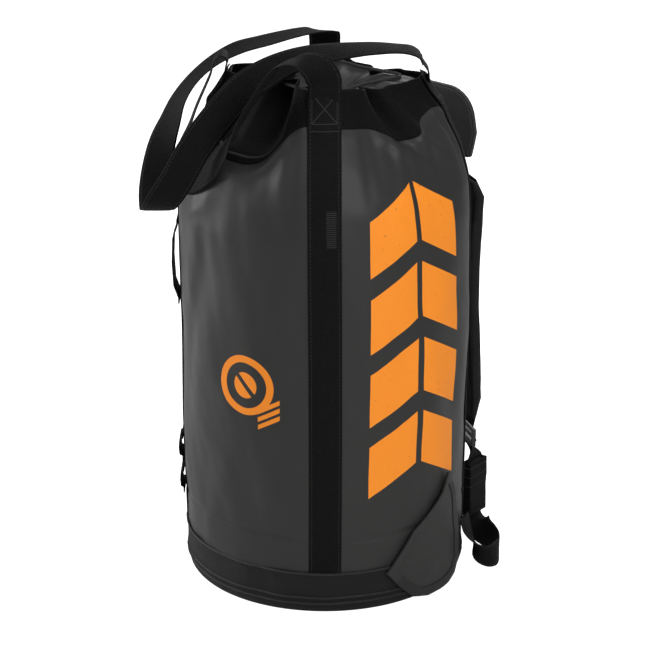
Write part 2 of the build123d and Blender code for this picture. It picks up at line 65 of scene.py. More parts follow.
class Net:
    """A material's node tree, with maths on sockets."""

    def __init__(self, name):
        self.mat = bpy.data.materials.new(name)
        self.mat.use_nodes = True
        self.nt = self.mat.node_tree
        self.nt.nodes.clear()
        self.out = self.nt.nodes.new("ShaderNodeOutputMaterial")
        self.bsdf = self.nt.nodes.new("ShaderNodeBsdfPrincipled")
        self.nt.links.new(self.bsdf.outputs[0], self.out.inputs[0])
        uv = self.nt.nodes.new("ShaderNodeUVMap")
        uv.uv_map = "UVMap"
        sep = self.nt.nodes.new("ShaderNodeSeparateXYZ")
        self.nt.links.new(uv.outputs[0], sep.inputs[0])
        self.uv = uv.outputs[0]
        self.u, self.v = sep.outputs[0], sep.outputs[1]     # metres
        tc = self.nt.nodes.new("ShaderNodeTexCoord")
        self.obj = tc.outputs["Object"]

    def m(self, op, a, b=None, c=None, clamp=False):
        n = self.nt.nodes.new("ShaderNodeMath")
        n.operation = op
        n.use_clamp = clamp
        for i, x in enumerate((a, b, c)):
            if x is None:
                continue
            if isinstance(x, (int, float)):
                n.inputs[i].default_value = float(x)
            else:
                self.nt.links.new(x, n.inputs[i])
        return n.outputs[0]

    def noise(self, scale, detail=3.0, rough=0.55, vec=None):
        n = self.nt.nodes.new("ShaderNodeTexNoise")
        n.inputs["Scale"].default_value = scale
        n.inputs["Detail"].default_value = detail
        n.inputs["Roughness"].default_value = rough
        self.nt.links.new(self.obj if vec is None else vec, n.inputs["Vector"])
        return n.outputs[0]

    def mix(self, fac, a, b):
        n = self.nt.nodes.new("ShaderNodeMix")
        n.data_type = "RGBA"
        for k, x in ((0, fac), (6, a), (7, b)):
            if isinstance(x, (int, float)):
                n.inputs[k].default_value = float(x)
            elif isinstance(x, tuple):
                n.inputs[k].default_value = (*x[:3], 1.0)
            else:
                self.nt.links.new(x, n.inputs[k])
        return n.outputs[2]

    def sum(self, *xs):
        out = xs[0]
        for x in xs[1:]:
            out = self.m("ADD", out, x)
        return out

    def near(self, x, at, half, soft=0.00025):
        """1 where |x - at| < half, with a soft edge."""
        d = self.m("ABSOLUTE", self.m("SUBTRACT", x, at))
        return self.m("DIVIDE", self.m("SUBTRACT", half + soft, d), 2 * soft, clamp=True)

    def below(self, x, at, soft=0.0004):
        return self.m("DIVIDE", self.m("SUBTRACT", self.m("ADD", at, soft), x), 2 * soft, clamp=True)

    def both(self, *xs):
        out = xs[0]
        for x in xs[1:]:
            out = self.m("MULTIPLY", out, x)
        return out

    def either(self, *xs):
        out = xs[0]
        for x in xs[1:]:
            out = self.m("MAXIMUM", out, x)
        return out

    def wave(self, x, period):
        return self.m("SINE", self.m("MULTIPLY", x, 2 * math.pi / period))

    def finish(self, color, rough, height=None, dist=0.0003, strength=1.0, spec=0.5, sheen=0.0, metallic=0.0):
        b = self.bsdf
        for key, x in (("Base Color", color), ("Roughness", rough)):
            if isinstance(x, (int, float)):
                b.inputs[key].default_value = float(x)
            elif isinstance(x, tuple):
                b.inputs[key].default_value = (*x[:3], 1.0)
            else:
                self.nt.links.new(x, b.inputs[key])
        b.inputs["Specular IOR Level"].default_value = spec
        b.inputs["Sheen Weight"].default_value = sheen
        b.inputs["Metallic"].default_value = metallic
        if height is not None:
            n = self.nt.nodes.new("ShaderNodeBump")
            n.inputs["Strength"].default_value = strength
            n.inputs["Distance"].default_value = dist
            self.nt.links.new(height, n.inputs["Height"])
            self.nt.links.new(n.outputs[0], b.inputs["Normal"])
        return self.mat


ORANGE = (1.0, 0.30, 0.022)
GREY = (0.0245, 0.0254, 0.0242)
BLACK = (0.0026, 0.0026, 0.0024)


def cloth_mat(name, prints=False, tone=1.0):
    n = Net(name)
    big = n.noise(9.0, 3.0, 0.5)
    k = n.m("MULTIPLY_ADD", big, 0.30, 0.85)
    grey = n.mix(k, (GREY[0] * 0.55 * tone, GREY[1] * 0.55 * tone, GREY[2] * 0.55 * tone), (GREY[0] * 1.12 * tone, GREY[1] * 1.12 * tone, GREY[2] * 1.12 * tone))
    scrim = n.m("ADD", n.wave(n.u, 0.0016), n.wave(n.v, 0.0016))
    fine = n.noise(420.0, 2.0)
    rumple = n.noise(38.0, 4.0, 0.6)
    height = n.sum(n.m("MULTIPLY", scrim, 0.018), n.m("MULTIPLY", fine, 0.10), n.m("MULTIPLY", rumple, 1.5))
    color, rough = grey, n.m("MULTIPLY_ADD", big, 0.14, 0.40)
    if prints:
        worn = n.noise(300.0, 3.0, 0.7)
        # stack of four broad chevrons up the side: height along the stack, bent by the distance from its middle
        u0, half = -0.0170, 0.0700
        du = n.m("ABSOLUTE", n.m("SUBTRACT", n.u, u0))
        bent = n.m("ADD", n.v, n.m("MULTIPLY", du, 0.55))
        inside = n.near(n.u, u0, half)
        bands = n.either(*[n.near(bent, c, 0.0345) for c in (0.2250, 0.3200, 0.4150, 0.5100)])
        slit = n.m("SUBTRACT", 1.0, n.near(n.u, u0, 0.0042))
        side = n.both(inside, bands, slit)
        # round emblem of two rings and three short bars
        cu, cv = -0.2420, 0.2960
        ru = n.m("SUBTRACT", n.u, cu)
        rv = n.m("SUBTRACT", n.v, cv)
        rad = n.m("SQRT", n.m("ADD", n.m("MULTIPLY", ru, ru), n.m("MULTIPLY", rv, rv)))
        ring = n.near(rad, 0.0335, 0.0045)
        dot = n.near(rad, 0.0, 0.0165)
        diag = n.m("ADD", ru, rv)
        gap = n.m("SUBTRACT", 1.0, n.near(diag, 0.0, 0.0042))
        emblem = n.either(ring, n.both(dot, gap))
        bars = n.both(n.either(*[n.near(n.m("ADD", n.v, n.m("MULTIPLY", n.u, -0.55)), c, 0.0030) for c in (0.3682, 0.3782, 0.3882)]), n.near(n.u, -0.2105, 0.0140))
        dull = n.either(emblem, bars)
        wear = n.m("SUBTRACT", 1.0, n.m("MULTIPLY", n.m("GREATER_THAN", worn, 0.70), 0.85))
        color = n.mix(n.m("MULTIPLY", side, wear), grey, ORANGE)
        color = n.mix(dull, color, (0.92, 0.27, 0.020))
        mask = n.either(side, dull)
        rough = n.m("MULTIPLY_ADD", mask, 0.12, rough)
        height = n.m("ADD", height, n.m("MULTIPLY", mask, 0.4))
    return n.finish(color, rough, height, dist=0.0006, strength=0.60, spec=0.25)


def web_mat(name, stitches=None, tone=1.0, half=0.0200):
    """Woven webbing: u across in metres from its middle, v along."""
    n = Net(name)
    rib = n.wave(n.v, 0.0021)
    cross = n.wave(n.u, 0.0026)
    var = n.noise(120.0, 3.0)
    edge = n.either(n.near(n.u, half - 0.0012, 0.0012), n.near(n.u, -half + 0.0012, 0.0012))
    height = n.sum(n.m("MULTIPLY", rib, 0.5), n.m("MULTIPLY", cross, 0.35), n.m("MULTIPLY", edge, 0.7), n.m("MULTIPLY", var, 0.6))
    k = n.m("MULTIPLY_ADD", n.m("MULTIPLY", rib, cross), 0.25, n.m("MULTIPLY_ADD", var, 0.7, 0.2), clamp=True)
    color = n.mix(k, (BLACK[0] * 0.7 * tone,) * 3, (BLACK[0] * 2.0 * tone,) * 3)
    if stitches:
        mask = stitches(n)
        color = n.mix(mask, color, (0.030, 0.030, 0.030))
        height = n.m("ADD", height, n.m("MULTIPLY", mask, 2.2))
    return n.finish(color, 0.68, height, dist=0.0004, strength=0.8, spec=0.10, sheen=0.015)


def edge_stitch(n, at=0.0165):
    dash = n.m("GREATER_THAN", n.wave(n.v, 0.0044), -0.55)
    return n.both(n.either(n.near(n.u, at, 0.0004), n.near(n.u, -at, 0.0004)), dash)


def strap_stitch(n):
    base = edge_stitch(n)
    inbox = n.both(n.near(n.v, 0.6320, 0.0160), n.near(n.u, 0.0, 0.0150))
    ring = n.both(inbox, n.either(n.near(n.v, 0.6165, 0.0005), n.near(n.v, 0.6475, 0.0005), n.near(n.u, 0.0145, 0.0005), n.near(n.u, -0.0145, 0.0005)))
    d1 = n.m("SUBTRACT", n.m("SUBTRACT", n.v, 0.6320), n.m("MULTIPLY", n.u, 1.07))
    d2 = n.m("ADD", n.m("SUBTRACT", n.v, 0.6320), n.m("MULTIPLY", n.u, 1.07))
    cross = n.both(inbox, n.either(n.near(d1, 0.0, 0.0008), n.near(d2, 0.0, 0.0008)))
    line = n.both(n.near(n.v, 0.6090, 0.0005), n.near(n.u, 0.0, 0.0160))
    tack = n.both(n.near(n.v, 0.5000, 0.0220), n.near(n.u, 0.0080, 0.0060), n.m("GREATER_THAN", n.wave(n.v, 0.0022), 0.0))
    return n.either(base, ring, cross, line, tack)


def end_stitch(z_marks):
    def f(n):
        base = edge_stitch(n)
        return n.either(base, *[n.both(n.near(n.v, z, 0.0006), n.near(n.u, 0, 0.018)) for z in z_marks])
    return f


def nylon_mat(name, tone=1.0, cell=0.0016):
    """Coarse plain weave."""
    n = Net(name)
    a, b = n.wave(n.u, cell), n.wave(n.v, cell)
    weave = n.m("MULTIPLY", a, b)
    var = n.noise(14.0, 4.0)
    fine = n.noise(500.0, 2.0)
    height = n.sum(n.m("MULTIPLY", weave, 0.5), n.m("MULTIPLY", var, 3.0), n.m("MULTIPLY", fine, 0.5))
    k = n.m("MULTIPLY_ADD", weave, 0.20, n.m("MULTIPLY_ADD", var, 0.8, 0.1), clamp=True)
    color = n.mix(k, (0.0050 * tone,) * 3, (0.0125 * tone,) * 3)
    return n.finish(color, 0.72, height, dist=0.0005, strength=0.8, spec=0.22, sheen=0.03)


def tape_mat(name, tone=1.0):
    n = Net(name)
    diag = n.wave(n.m("ADD", n.u, n.v), 0.0018)
    var = n.noise(90.0, 3.0)
    color = n.mix(n.m("MULTIPLY_ADD", diag, 0.2, var, clamp=True), (0.007 * tone,) * 3, (0.019 * tone,) * 3)
    return n.finish(color, 0.66, n.sum(n.m("MULTIPLY", diag, 0.5), var), dist=0.0003, strength=0.7, spec=0.36, sheen=0.08)


def plain_mat(name, color, rough, metallic=0.0):
    n = Net(name)
    var = n.noise(160.0, 3.0)
    c = n.mix(var, tuple(x * 0.8 for x in color), tuple(x * 1.2 for x in color))
    return n.finish(c, n.m("MULTIPLY_ADD", var, 0.12, rough - 0.06), var, dist=0.00008, strength=0.4, metallic=metallic)


def braid_mat(name):
    n = Net(name)
    a = n.wave(n.m("ADD", n.u, n.v), 0.0022)
    b = n.wave(n.m("SUBTRACT", n.u, n.v), 0.0022)
    w = n.m("MULTIPLY", a, b)
    return n.finish(n.mix(n.m("MULTIPLY_ADD", w, 0.4, 0.5, clamp=True), (0.02,) * 3, (0.06,) * 3), 0.7, w, dist=0.0004)


M_BODY = cloth_mat("coated_cloth_printed", prints=True)
M_CLOTH = cloth_mat("coated_cloth", tone=1.0)
# the collar is the body cloth brightened by a quarter: painted light on its up-facing surface
M_COLLAR_PAINTED_LIGHT = cloth_mat("collar_cloth_painted_light", tone=1.25)
M_STRAP = web_mat("strap_webbing", strap_stitch)
M_WEB = web_mat("webbing", edge_stitch)
M_WEB36 = web_mat("webbing_36", lambda n: edge_stitch(n, 0.0150), half=0.018)
M_KEEP = web_mat("keeper_webbing", lambda n: n.either(*[n.near(n.v, z, 0.0005) for z in (0.0400, 0.0800, 0.0930, 0.1060)]))
# hem webbing darkened to 0.6: painted shade of the hollow inside the mouth
M_HEM_PAINTED_SHADE = web_mat("hem_webbing_painted_shade", None, tone=0.6, half=9.0)
M_BASE = nylon_mat("base_nylon")
M_BACK = nylon_mat("panel_nylon", tone=0.9)
# flap cloth at five times the nylon's tone: painted light on the flap
M_FLAP_PAINTED_LIGHT = nylon_mat("flap_nylon_painted_light", tone=5.0, cell=0.0012)
M_PAD = nylon_mat("pad_nylon", tone=0.75, cell=0.0020)
M_TAPE = tape_mat("binding_tape")
# flap binding brighter than the other binding: painted light, as on the flap cloth
M_FLAPTAPE_PAINTED_LIGHT = tape_mat("flap_binding_tape_painted_light", tone=1.8)
M_CORD = braid_mat("braid")
M_PLASTIC = plain_mat("moulded_plastic", (0.012, 0.012, 0.013), 0.38)
M_STEEL = plain_mat("spring_wire", (0.55, 0.55, 0.55), 0.3, 1.0)

# ------------------------------------------------------------------ mesh kit


def make(name, verts, faces, mat, uvs=None, smooth=True):
    """verts in mm. uvs: one (u, v) in metres for each vertex."""
    me = bpy.data.meshes.new(name)
    me.from_pydata([tuple(float(c) * MM for c in p) for p in verts], [], [tuple(f) for f in faces])
    me.validate()
    layer = me.uv_layers.new(name="UVMap")
    if uvs is not None:
        idx = np.zeros(len(me.loops), int)
        me.loops.foreach_get("vertex_index", idx)
        layer.data.foreach_set("uv", np.asarray(uvs, np.float32)[idx].ravel())
    me.materials.append(mat)
    me.polygons.foreach_set("use_smooth", [smooth] * len(me.polygons))
    me.update()
    ob = bpy.data.objects.new(name, me)
    bpy.context.scene.collection.objects.link(ob)
    return ob


def grid_faces(rows, cols, wrap_rows, wrap_cols):
    f = []
    for i in range(rows if wrap_rows else rows - 1):
        for j in range(cols if wrap_cols else cols - 1):
            i2, j2 = (i + 1) % rows, (j + 1) % cols
            f.append((i * cols + j, i * cols + j2, i2 * cols + j2, i2 * cols + j))
    return f


def vn(u, v, seed, period=None):
    """Smooth value noise, -1 to 1."""
    g = np.random.RandomState(seed).uniform(-1, 1, (128, 128))
    u, v = np.asarray(u, float), np.asarray(v, float)
    u, v = np.broadcast_arrays(u, v)
    iu, iv = np.floor(u).astype(int), np.floor(v).astype(int)
    fu, fv = u - iu, v - iv
    fu, fv = fu * fu * (3 - 2 * fu), fv * fv * (3 - 2 * fv)
    p = period or 128
    a, b = iu % p, (iu + 1) % p
    c, d = iv % 128, (iv + 1) % 128
    return (g[a, c] * (1 - fu) + g[b, c] * fu) * (1 - fv) + (g[a, d] * (1 - fu) + g[b, d] * fu) * fv


def sstep(x, a, b):
    t = np.clip((np.asarray(x, float) - a) / (b - a), 0, 1)
    return t * t * (3 - 2 * t)


def wrap(d):
    return (np.asarray(d, float) + 180.0) % 360.0 - 180.0


SEC = np.array([(54, 178.5, 0), (140, 180.3, 0), (250, 180.8, 0), (380, 180.8, 0), (480, 179.2, 1),
                (520, 173, 4), (560, 155, 10), (600, 129, 17), (630, 106, 20), (650, 94, 21)], float)
_z = np.arange(0, 701, 1.0)
_k = np.exp(-0.5 * (np.arange(-24, 25) / 8.0) ** 2)
_k /= _k.sum()


def _sm(col):
    # straight on past both ends, so the smoothing doesn't bend them
    a = np.interp(_z, SEC[:, 0], SEC[:, col])
    s = (SEC[-1, col] - SEC[-2, col]) / (SEC[-1, 0] - SEC[-2, 0])
    a = np.where(_z > 650, SEC[-1, col] + s * (_z - 650), a)
    p = np.pad(a, 24, mode="edge")
    return np.convolve(p, _k, mode="valid")


_A, _B = _sm(1), _sm(2)
STRAPS = (-45.0, 45.0, 135.0, -135.0)


def cad_r(z, th):
    return np.interp(z, _z, _A) + np.interp(z, _z, _B) * np.cos(np.radians(4 * (np.asarray(th, float) - 45)))


LIP = np.array([(-180, 611), (-146, 612), (-130, 622), (-124, 612), (-118, 596), (-112, 580), (-104, 568), (-94, 563), (-84, 560),
                (-76, 567), (-68, 588), (-61, 608), (-54, 616), (-36, 611), (-28, 609), (-18, 605), (-10, 596), (-3, 584), (2, 583),
                (8, 592), (16, 604), (26, 611), (180, 611)], float)
RIM = np.array([(-180, 646), (-135, 650), (-110, 648), (-90, 645), (-70, 647), (-45, 650), (-25, 647), (-10, 640), (0, 636), (10, 638),
                (45, 643), (70, 638), (90, 634), (110, 636), (135, 644), (180, 646)], float)


_t = np.arange(-180, 181, 1.0)


def _round_off(table, sigma):
    a = np.interp(_t, table[:, 0], table[:, 1])[:-1]
    k = np.exp(-0.5 * (np.arange(-12, 13) / sigma) ** 2)
    a = np.convolve(np.concatenate([a[-12:], a, a[:12]]), k / k.sum(), mode="valid")
    return np.concatenate([a, a[:1]])


_LIPS, _RIMS = _round_off(LIP, 3.0), _round_off(RIM, 5.0)


def lip_z(th):
    return np.interp(wrap(th), _t, _LIPS)


def rim_z(th):
    return np.interp(wrap(th), _t, _RIMS)


def detail(z, th):
    """How far the cloth stands off the drafted tube, in mm."""
    z, th = np.broadcast_arrays(np.asarray(z, float), np.asarray(th, float))
    U = (wrap(th) + 180.0) / 360.0
    free = np.ones_like(z)
    for a in STRAPS:
        free *= 1 - 0.75 * np.exp(-(wrap(th - a) / 8.0) ** 2)
    d = free * sstep(z, 54, 120) * (3.0 * vn(U * 14, z / 150, 1, 14) + 2.3 * vn(U * 30 + z / 300, z / 80, 2, 30))
    d += free * 0.6 * vn(U * 64 + z / 110, z / 30, 3, 64)
    # puckers along the base seam
    d += 0.9 * np.exp(-(z - 54) / 22.0) * vn(U * 70, z / 60, 4, 70)
    # faint horizontal crease
    zc = 100 + 4 * vn(U * 10, 0.3, 6, 10)
    d -= 1.3 * np.exp(-((z - zc) / 3.0) ** 2) * sstep(np.abs(wrap(th + 45)), 8, 14)
    # gathers that run up into the mouth
    w = sstep(z, 500, 625)
    d += free * w * (3.6 * vn(U * 40, z / 260, 7, 40) + 2.2 * vn(U * 84, z / 180, 8, 84))
    # long soft folds that fan out from the mouth
    w2 = sstep(z, 430, 560) * (1 - sstep(z, 585, 640))
    d += free * w2 * 3.0 * vn(U * 22 + z / 240, z / 400, 9, 22)
    # the side panel is fuller than the draft
    d += 10.0 * np.exp(-((wrap(th - 6)) / 24.0) ** 2) * sstep(z, 520, 575) * (1 - sstep(z, 596, 632))
    # deep fold in the front panel
    dep = np.interp(z, [500, 535, 560, 590, 620, 650], [0, 3, 12, 22, 22, 14])
    t = wrap(th + 81)
    d += -dep * np.exp(-(t / 9.0) ** 2) + 0.33 * dep * (np.exp(-((t + 20) / 8.0) ** 2) + 0.6 * np.exp(-((t - 19) / 7.0) ** 2))
    # fold in the side panel, leaning to the rear lower down
    dep = np.interp(z, [530, 565, 588, 620, 650], [0, 5, 14, 20, 14])
    t = wrap(th - np.interp(z, [530, 588, 650], [20, -2, -6]))
    d += -dep * np.exp(-(t / 5.0) ** 2) + 0.30 * dep * (np.exp(-((t + 11) / 5.0) ** 2) + np.exp(-((t - 11) / 5.0) ** 2))
    # folds at the back and the left of the mouth
    for c, k in ((84, 12.0), (112, 9.0), (172, 12.0), (-158, 8.0), (60, 6.0)):
        dep = np.interp(z, [520, 580, 620, 650], [0, 0.4 * k, k, 0.8 * k])
        t = wrap(th - c)
        d += -dep * np.exp(-(t / 6.0) ** 2) + 0.3 * dep * (np.exp(-((t + 12) / 5.0) ** 2) + np.exp(-((t - 12) / 5.0) ** 2))
    # a small rolled lip just below the hem
    lz = lip_z(th)
    low = sstep(613 - lz, 4, 30)
    d += (2.2 + 6.5 * low) * np.exp(-((z - lz + 7) / (8.0 + 4 * low)) ** 2) * sstep(z, 500, 545)
    # soft dents down the left of the front panel
    d += -2.2 * np.exp(-((wrap(th + 112 - (z - 300) / 14)) / 5.0) ** 2) * sstep(z, 200, 330) * (1 - sstep(z, 480, 540))
    d += -1.6 * np.exp(-((wrap(th + 98 + (z - 420) / 12)) / 4.0) ** 2) * sstep(z, 330, 420) * (1 - sstep(z, 500, 560))
    return d


def body_r(z, th):
    return cad_r(z, th) + detail(z, th)


def polar(r, th):
    t = np.radians(th)
    return r * np.cos(t), r * np.sin(t)


def shell_of_revolution(name, rows, mat, n=360, uvr=180.0):
    """rows: list of functions th -> (r, z) arrays, in order round the section; closed round the tube and round the section."""
    th = np.arange(n) * 360.0 / n - 180.0
    V, UV = [], []
    for f in rows:
        r, z = f(th)
        r, z = np.broadcast_to(r, th.shape), np.broadcast_to(z, th.shape)
        x, y = polar(r, th)
        V.append(np.stack([x, y, z], 1))
        UV.append(np.stack([np.radians(th) * uvr * MM, z * MM], 1))
    V, UV = np.array(V), np.array(UV)
    faces = grid_faces(len(rows), n, True, True)
    faces = [tuple(reversed(f)) for f in faces]
    ob = make(name, V.reshape(-1, 3), faces, mat, UV.reshape(-1, 2))
    # the column that closes the circle carries on from the last angle
    me = ob.data
    lay = me.uv_layers["UVMap"].data
    uv = np.zeros(len(me.loops) * 2, np.float32)
    lay.foreach_get("uv", uv)
    uv = uv.reshape(-1, 4, 2) if len(uv) % 8 == 0 else None
    if uv is not None:
        span = uv[:, :, 0].max(1) - uv[:, :, 0].min(1)
        jump = span > 0.5
        sel = uv[jump]
        sel[:, :, 0] = np.where(sel[:, :, 0] < 0, sel[:, :, 0] + 2 * math.pi * uvr * MM, sel[:, :, 0])
        uv[jump] = sel
        lay.foreach_set("uv", uv.ravel())
    return ob


def outward(ob):
    import bmesh
    bm = bmesh.new()
    bm.from_mesh(ob.data)
    bmesh.ops.recalc_face_normals(bm, faces=bm.faces)
    bm.to_mesh(ob.data)
    bm.free()
    return ob


# ------------------------------------------------------------------ body, base, hem, collar
def body_row(s, inner=False):
    def f(th):
        top = lip_z(th) + 6.0
        z = 54.0 + s * (top - 54.0)
        return body_r(z, th) - (1.6 if inner else 0.0), z
    return f


S = list(np.linspace(0, 1, 230))
rows = [body_row(s) for s in S] + [body_row(s, True) for s in S[::-1][::6]]
if (len(S) - 1) % 6:
    rows.append(body_row(0.0, True))
bag_cloth = outward(shell_of_revolution("bag_cloth", rows, M_BODY, n=480))
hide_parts("body_shell")
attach(bag_cloth, "bag")


def base_r(z, th):
    U = (wrap(th) + 180) / 360
    r = np.interp(z, [0, 1.2, 3, 6, 14, 30, 50, 54, 56], [172.5, 175.6, 177.2, 178.2, 178.7, 178.8, 178.9, 178.9, 178.9])
    soft = sstep(z, 2, 12)
    return r + soft * (1.5 * vn(U * 16, z / 60, 21, 16) + 1.1 * vn(U * 40, z / 24, 22, 40) - 0.5 * np.abs(vn(U * 90, z / 14, 23, 90)))


bz = [0.2, 1.2, 2.2, 3.4, 5, 7, 9, 11, 12.6, 14.5, 17, 19.5, 21.6, 24, 27, 30, 33, 36, 39, 42, 45, 48, 50.5, 52.5, 54.2]
rows = [(lambda th, z=z: (base_r(z, th), np.full_like(th, z))) for z in bz]
rows += [(lambda th, z=z: (base_r(z, th) - 2.0, np.full_like(th, z))) for z in (54.2, 30.0, 3.4)]
base = outward(shell_of_revolution("base_cloth", rows, M_BASE, n=480))
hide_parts("base_band")
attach(base, "bag")


def disc(name, z0, z1, r, mat):
    n = 96
    V, UV, F = [(0, 0, z0)], [(0, 0)], []
    rings = [(r * 0.5, z0), (r - 2, z0), (r, z0 + 0.8), (r, z1 - 0.8), (r - 2, z1), (r * 0.5, z1)]
    for rr, z in rings:
        for i in range(n):
            x, y = polar(rr, i * 360 / n)
            V.append((x, y, z))
            UV.append((x * MM, y * MM))
    V.append((0, 0, z1))
    UV.append((0, 0))
    for i in range(n):
        F.append((0, 1 + (i + 1) % n, 1 + i))
    for k in range(len(rings) - 1):
        a, b = 1 + k * n, 1 + (k + 1) * n
        for i in range(n):
            F.append((a + i, a + (i + 1) % n, b + (i + 1) % n, b + i))
    a = 1 + (len(rings) - 1) * n
    for i in range(n):
        F.append((a + i, a + (i + 1) % n, len(V) - 1))
    return outward(make(name, V, F, mat, UV))


d = disc("base_floor", 0.0, 3.0, 172.5, M_BASE)
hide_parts("base_disc")
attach(d, "bag")


def piping(name, zs, off, rad_, node, th_r):
    rows_all = []
    V, UV, F = [], [], []
    n, m = 360, 8
    for z0 in zs:
        start = len(V)
        th = np.arange(n) * 360.0 / n - 180
        zz = z0 + 0.5 * vn((th + 180) / 360 * 24, 0.5, 31, 24)
        rr = th_r(zz, th) + off
        for j in range(m):
            a = 2 * math.pi * j / m
            x, y = polar(rr + rad_ * math.cos(a), th)
            for i in range(n):
                V.append((x[i], y[i], zz[i] + rad_ * math.sin(a)))
                UV.append((math.radians(th[i]) * 0.18, a * rad_ * MM))
        for j in range(m):
            for i in range(n):
                j2, i2 = (j + 1) % m, (i + 1) % n
                F.append((start + j * n + i, start + j * n + i2, start + j2 * n + i2, start + j2 * n + i))
    ob = outward(make(name, V, F, M_TAPE, UV))
    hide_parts(node)
    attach(ob, "bag")
    return ob


piping("seam_piping", [54.4], 0.6, 1.5, "base_seam_piping", base_r)
piping("edge_piping", [13.4, 21.4], 0.3, 1.25, "base_edge_piping", base_r)


# hem: outer face from the lip to the rim, rolled over, then the inner face. Where the lip sits low in a deep fold it
# covers the hollow above it too, so this darkened webbing is partly the real hem and partly painted shade
def hem_row(s, side):
    def f(th):
        lz, rz = lip_z(th) - 1.0, rim_z(th)
        z = lz + s * (rz - lz)
        # above the lip of a deep fold the cloth turns in
        deep = sstep(rz - lz, 48, 78)
        tuck = -deep * 15.0 * sstep(s, 0.03, 0.22) * (1 - 0.5 * s)
        r = body_r(z, th) + 1.3 + tuck
        if side < 0:
            r = r - 4.2
        return r, z
    return f


hs = [0, 0.03, 0.06, 0.1, 0.14, 0.18, 0.22, 0.28, 0.35, 0.42, 0.5, 0.58, 0.66, 0.74, 0.82, 0.9, 0.96, 0.99]
rows = [hem_row(s, 1) for s in hs]
rows += [lambda th: (hem_row(1.0, 1)(th)[0] - 1.2, rim_z(th) + 1.0), lambda th: (hem_row(1.0, 1)(th)[0] - 3.0, rim_z(th) + 1.0)]
rows += [hem_row(s, -1) for s in hs[::-1]]
hem = outward(shell_of_revolution("mouth_hem_tape_and_painted_shade", rows, M_HEM_PAINTED_SHADE, n=480))
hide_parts("mouth_hem")
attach(hem, "bag")


# collar: gathered cloth that closes in on the mouth
def collar_row(s, low):
    def f(th):
        z_edge = np.minimum(634.0, rim_z(th) - 5.0)
        r_out = hem_row(0.8, -1)(th)[0] - 0.6
        r = r_out + s * (36.0 - r_out)
        up = 9.0 * np.exp(-(wrap(th - 20) / 75.0) ** 2) * np.sin(math.pi * np.clip(s * 1.15, 0, 1))
        U = (wrap(th) + 180) / 360
        gather = (2.4 * vn(U * 30, s * 1.5, 41, 30) + 1.6 * vn(U * 60, s * 2, 42, 60)) * sstep(s, 0.02, 0.3)
        lock = np.exp(-(wrap(th - 180) / 22.0) ** 2)
        z = z_edge - s * 11.0 + (up + gather) * (1 - lock) - 3.0 * lock * s
        return r, z - (1.4 if low else 0.0)
    return f


cs = list(np.linspace(0, 1, 22))
rows = [collar_row(s, False) for s in cs] + [collar_row(s, True) for s in cs[::-1]]
# its cloth is brightened: painted light on the up-facing collar
collar = outward(shell_of_revolution("gathered_collar", rows, M_COLLAR_PAINTED_LIGHT, n=360))
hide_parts("inner_collar")
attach(collar, "bag")


# ------------------------------------------------------------------ body straps
def strap(name, a0, z_lo, z_hi, node, mat, width=40.0, lift=0.0):
    """Webbing laid on the body: across by across, up by up."""
    cols = np.linspace(-width / 2, width / 2, 15)
    zs = np.concatenate([np.arange(z_lo, z_hi, 3.0), [z_hi]])
    shift = 1.6 * np.sin(zs / 95.0 + a0)
    outer, inner, uv_o = [], [], []
    for k, z in enumerate(zs):
        r0 = float(body_r(z, a0))
        th = a0 + np.degrees((cols + shift[k] * 0.3) / max(r0, 90.0))
        zz = np.full_like(th, z)
        # follows the cloth, smoothed across so that it lies as stiff webbing
        r = 0.5 * body_r(zz, th) + 0.5 * (r0 * np.ones_like(th) / np.cos(np.radians(th - a0)) * 0.35 + 0.65 * body_r(zz, th).mean())
        r = np.maximum(r, body_r(zz, th) + 0.1)
        r = r + lift + 3.0 * float(sstep(z, 604, 613))
        thick = 1.7 - 0.9 * (np.abs(cols) / (width / 2)) ** 10
        x, y = polar(r + thick, th)
        outer.append(np.stack([x, y, zz], 1))
        x, y = polar(r - 0.4, th)
        inner.append(np.stack([x, y, zz], 1))
        uv_o.append(np.stack([cols * MM, zz * MM], 1))
    n, c = len(zs), len(cols)
    V = np.concatenate([np.array(outer).reshape(-1, 3), np.array(inner).reshape(-1, 3)])
    UV = np.concatenate([np.array(uv_o).reshape(-1, 2)] * 2)
    F = grid_faces(n, c, False, False)
    F += [tuple(i + n * c for i in reversed(f)) for f in grid_faces(n, c, False, False)]
    o = n * c
    for i in range(n - 1):
        F.append((i * c, (i + 1) * c, o + (i + 1) * c, o + i * c))
        F.append((i * c + c - 1, o + i * c + c - 1, o + (i + 1) * c + c - 1, (i + 1) * c + c - 1))
    for j in range(c - 1):
        F.append((j, o + j, o + j + 1, j + 1))
        F.append(((n - 1) * c + j, (n - 1) * c + j + 1, o + (n - 1) * c + j + 1, o + (n - 1) * c + j))
    ob = outward(make(name, V, F, mat, UV))
    if node:
        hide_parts(node)
    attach(ob, "bag")
    return ob


for nm, a in zip(("front_right_strap", "rear_right_strap", "rear_left_strap", "front_left_strap"), STRAPS):
    strap(nm + "_webbing", a, 56.0, float(rim_z(a)) + 1.5, nm, M_STRAP)


# ------------------------------------------------------------------ lengths of webbing
def cat(P, t):
    return 0.5 * (2 * P[1] + (P[2] - P[0]) * t + (2 * P[0] - 5 * P[1] + 4 * P[2] - P[3]) * t ** 2 + (3 * P[1] - P[0] - 3 * P[2] + P[3]) * t ** 3)


